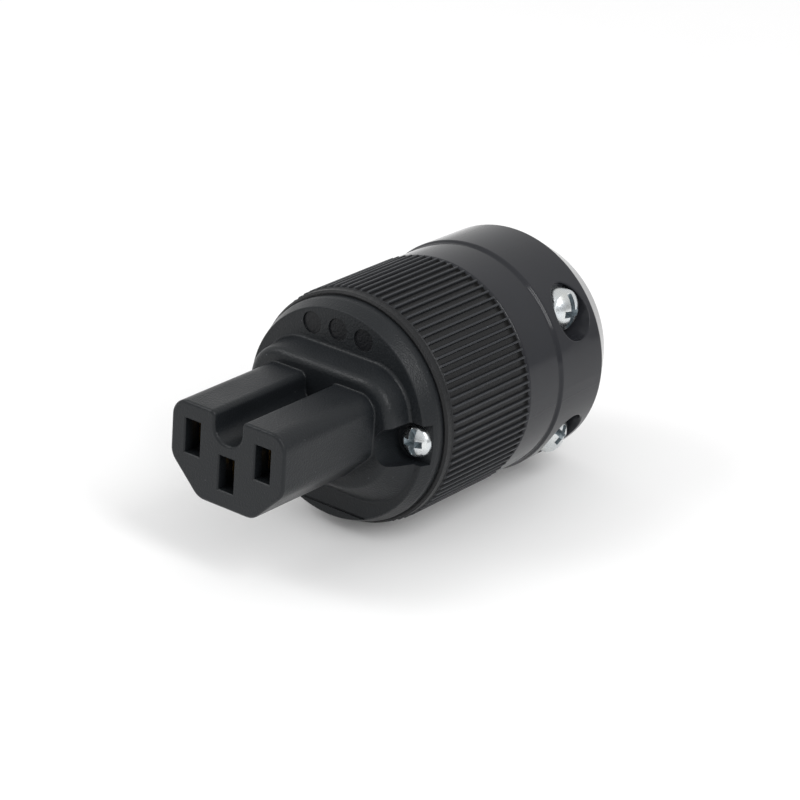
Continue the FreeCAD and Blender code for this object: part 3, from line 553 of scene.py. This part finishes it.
def roll_thread(shape, shank_radius, length, pitch):
    """Helical ridge round the core, from under the head to the tip, closed at both ends."""
    root = ROOT_SINK * CORE_SHARE * shank_radius
    width = THREAD_WIDTH * pitch
    turns = int((length - 2 * TIP) / pitch) - 1
    ridge = [(root, 0, -TIP), (shank_radius, 0, -TIP - width / 2), (root, 0, -TIP - width)]
    corners = [bmesh.ops.create_vert(shape, co=spot)["vert"][0] for spot in ridge]
    start = bmesh.ops.contextual_create(shape, geom=corners)["faces"]
    edges = list(start[0].edges)
    swept = bmesh.ops.spin(shape, geom=corners + edges, cent=(0, 0, 0), axis=(0, 0, 1),
                           dvec=(0, 0, -pitch / THREAD_STEPS), angle=2 * math.pi * turns,
                           steps=turns * THREAD_STEPS)
    ends = [item for item in swept["geom_last"] if isinstance(item, bmesh.types.BMVert)]
    bmesh.ops.contextual_create(shape, geom=ends)
    bmesh.ops.recalc_face_normals(shape, faces=shape.faces)


print("a thread has", THREAD_STEPS, "steps a turn")

# %% [markdown]
# ### From shape to piece
# Tumbling in the plating barrel rounds every edge of a screw a little. Beveling each edge by hand
# could miss some, so a Bevel modifier rounds all that are sharp enough. The dome is shaded smooth,
# and the recess keeps its creases.

# %% Finished screw
SMOOTH_ANGLE = math.radians(38)
WEAR_WIDTH = 0.08 * MM
WEAR_ANGLE = math.radians(40)


def finished_screw(name, shape):
    """Object with the shape's mesh, both zinc finishes, smooth shading and worn edges."""
    mesh = bpy.data.meshes.new(name)
    shape.to_mesh(mesh)
    mesh.materials.append(zinc)
    mesh.materials.append(scraped_and_shaded)
    mesh.polygons.foreach_set("use_smooth", [True] * len(mesh.polygons))
    mesh.set_sharp_from_angle(angle=SMOOTH_ANGLE)
    piece = bpy.data.objects.new(name, mesh)
    scene.collection.objects.link(piece)
    wear = piece.modifiers.new("worn_edges", "BEVEL")
    wear.width = WEAR_WIDTH
    wear.segments = 2
    wear.limit_method = "ANGLE"
    wear.angle_limit = WEAR_ANGLE
    return piece


print("edges are worn by", round(WEAR_WIDTH / MM, 2), "mm")

# %% [markdown]
# ### Seven screws
# Each screw takes its place, head and length from the box of the CAD screw that it stands for, so
# it sits where the part says. The slots stand as they happened to stop when they were tightened.

# %% Place the screws
FACING_FORWARD = Matrix.Rotation(math.radians(90), 4, "X")
FACING_RIGHT = Matrix.Rotation(math.radians(90), 4, "Y")
FACING_UP = Matrix.Identity(4)
FACING_DOWN = Matrix.Rotation(math.radians(180), 4, "X")
# Body, way the head faces, turn of the slot in degrees, then the heights of the head and of its
# dome, the shank radius and the pitch in mm
SCREWS = {
    "right_assembly_screw": ("housing", FACING_FORWARD, 94, 2.0, 1.3, 1.75, 0.6),
    "left_assembly_screw": ("housing", FACING_FORWARD, 35, 2.0, 1.3, 1.75, 0.6),
    "upper_clamp_screw": ("upper_screw", FACING_RIGHT, -4, 4.1, 1.85, 1.75, 0.6),
    "lower_clamp_screw": ("lower_screw", FACING_RIGHT, 50, 4.1, 1.85, 1.75, 0.6),
    "line_terminal_screw": ("housing", FACING_UP, 20, 1.9, 1.1, 1.5, 0.5),
    "neutral_terminal_screw": ("housing", FACING_UP, -40, 1.9, 1.1, 1.5, 0.5),
    "earth_terminal_screw": ("housing", FACING_DOWN, 65, 1.9, 1.1, 1.5, 0.5),
}

for name, (body, facing, slot_turn, head_mm, dome_mm, shank_mm, pitch_mm) in SCREWS.items():
    low, high = (Vector(corner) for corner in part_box(name))
    half = (high - low) / 2
    axis = facing.to_3x3() @ Vector((0, 0, 1))
    reach = abs(axis.dot(half))
    head_height = head_mm * MM
    length = 2 * reach - head_height
    shape = screw_blank(min(half), head_height, dome_mm * MM, shank_mm * MM, length)
    cut_recess(shape, min(half), head_height, dome_mm * MM)
    roll_thread(shape, shank_mm * MM, length, pitch_mm * MM)
    seat = (low + high) / 2 + axis * (reach - head_height)
    turn = Matrix.Rotation(math.radians(slot_turn), 4, "Z")
    bmesh.ops.transform(shape, matrix=Matrix.Translation(seat) @ facing @ turn, verts=shape.verts)
    loose = sum(not edge.is_manifold for edge in shape.edges)
    piece = finished_screw(name + "_turned", shape)
    shape.free()
    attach(piece, body)
    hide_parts(name)
    print(piece.name, len(piece.data.polygons), "faces, open edges:", loose)

# %% [markdown]
# ## Floor
# The picture is a product on a white paper sweep. The floor is a large pale plane that takes the
# soft shadow. Stronger lamps could make it white, but they would bleach the object too. So it glows
# a little, for the camera and for mirror images only, and not for the object's own light.

# %% Floor
FLOOR_HALF = 4.0
PAPER_LIFT = 0.08
FIBRE_MM = 30.0
floor_mesh = bpy.data.meshes.new("studio_floor")
shape = bmesh.new()
bmesh.ops.create_grid(shape, x_segments=1, y_segments=1, size=FLOOR_HALF)
bmesh.ops.translate(shape, verts=shape.verts, vec=(0, 0, cad_low[2]))
shape.to_mesh(floor_mesh)
shape.free()
floor = bpy.data.objects.new("studio_floor", floor_mesh)
scene.collection.objects.link(floor)
floor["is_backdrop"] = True
paper, tree, shader, place = new_material("white_sweep_paper")
fibre = add(tree, "ShaderNodeTexNoise", {"Vector": place},
            {"Scale": per_metre(FIBRE_MM), "Detail": 2.0})
pulp = add(tree, "ShaderNodeMix", {FACTOR: fibre.outputs["Fac"]},
           {COLOUR_A: linear("#f3f3f3"), COLOUR_B: linear("#f5f5f5")}, data_type="RGBA")
tree.links.new(pulp.outputs[MIXED_COLOUR], shader.inputs["Base Color"])
shader.inputs["Roughness"].default_value = 0.9
path = add(tree, "ShaderNodeLightPath")
seen = add(tree, "ShaderNodeMath",
           {0: path.outputs["Is Camera Ray"], 1: path.outputs["Is Glossy Ray"]}, operation="MAXIMUM")
shown = add(tree, "ShaderNodeMath",
            {0: seen.outputs["Value"], 1: path.outputs["Is Transmission Ray"]}, operation="MAXIMUM")
lift = add(tree, "ShaderNodeMath", {0: shown.outputs["Value"]}, {1: PAPER_LIFT}, operation="MULTIPLY")
shader.inputs["Emission Color"].default_value = (1.0, 1.0, 1.0, 1.0)
tree.links.new(lift.outputs["Value"], shader.inputs["Emission Strength"])
floor_mesh.materials.append(paper)
print("floor at", round(cad_low[2], 4))

# %% [markdown]
# ## World
# The studio round the floor is white: bright overhead and behind the object, dimmer near the
# horizon on the camera's side. An even white would fill every reflection alike, and the glossy
# shell would look matte. The height and the direction of a ray set its brightness.

# %% World
BEHIND = (-0.592, 0.806, 0.0)
HORIZON_LEVEL = 0.5
OVERHEAD_LEVEL = 1.0
BACK_LEVEL = 1.0
world = bpy.data.worlds.new("white_studio")
scene.world = world
world.use_nodes = True
tree = world.node_tree
tree.nodes.clear()
direction = add(tree, "ShaderNodeTexCoord").outputs["Generated"]
parts = add(tree, "ShaderNodeSeparateXYZ", {"Vector": direction})
height = add(tree, "ShaderNodeMapRange", {"Value": parts.outputs["Z"]},
             {"From Min": 0.0, "From Max": 0.6, "To Min": HORIZON_LEVEL, "To Max": OVERHEAD_LEVEL},
             interpolation_type="SMOOTHSTEP")
to_back = add(tree, "ShaderNodeVectorMath", {0: direction}, {1: BEHIND}, operation="DOT_PRODUCT")
behind = add(tree, "ShaderNodeMapRange", {"Value": to_back.outputs["Value"]},
             {"From Min": 0.0, "From Max": 0.7}, interpolation_type="SMOOTHSTEP")
level = add(tree, "ShaderNodeMix",
            {FACTOR: behind.outputs["Result"], NUMBER_A: height.outputs["Result"]},
            {NUMBER_B: BACK_LEVEL})
sky = add(tree, "ShaderNodeBackground", {"Strength": level.outputs[MIXED_NUMBER]})
add(tree, "ShaderNodeOutputWorld", {"Surface": sky.outputs["Background"]})
print("made", world.name)

# %% [markdown]
# ## Softboxes
# A tall softbox high on the right draws the thin lights along the ribs and the shoulder, one in
# front draws them along the rim and the plinth, and one at the side along the shell's front edge.
# Point lamps could light the object too, but on gloss they show as dots, where a box shows as a line.

# %% Softboxes
LAMP_DISTANCE = 0.8
# Direction from the object, width and height in metres, and power in watts
SOFTBOXES = {
    "key_softbox": ((0.68, -0.14, 0.7), 0.26, 0.52, 2.4),
    "front_softbox": ((-0.54, -0.45, 0.68), 0.3, 0.3, 1.5),
    "side_softbox": ((0.74, -0.62, 0.28), 0.25, 0.5, 0.3),
}
for name, (direction, width, height, power) in SOFTBOXES.items():
    aim = Vector(direction).normalized()
    lamp_data = bpy.data.lights.new(name, "AREA")
    lamp_data.shape = "RECTANGLE"
    lamp_data.size = width
    lamp_data.size_y = height
    lamp_data.energy = power
    lamp = bpy.data.objects.new(name, lamp_data)
    lamp.location = aim * LAMP_DISTANCE
    lamp.rotation_euler = aim.to_track_quat("Z", "Y").to_euler()
    scene.collection.objects.link(lamp)
scene.view_settings.view_transform = "Standard"
print("softboxes:", len(SOFTBOXES))

# %% [markdown]
# ## Sizes and finish
# The box of everything the picture shows is printed before the scene is closed. The looks
# must not make the object larger than the CAD model.

# %% Sizes and finish
low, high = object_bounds()
print("visual box", [round(b - a, 5) for a, b in zip(low, high)])
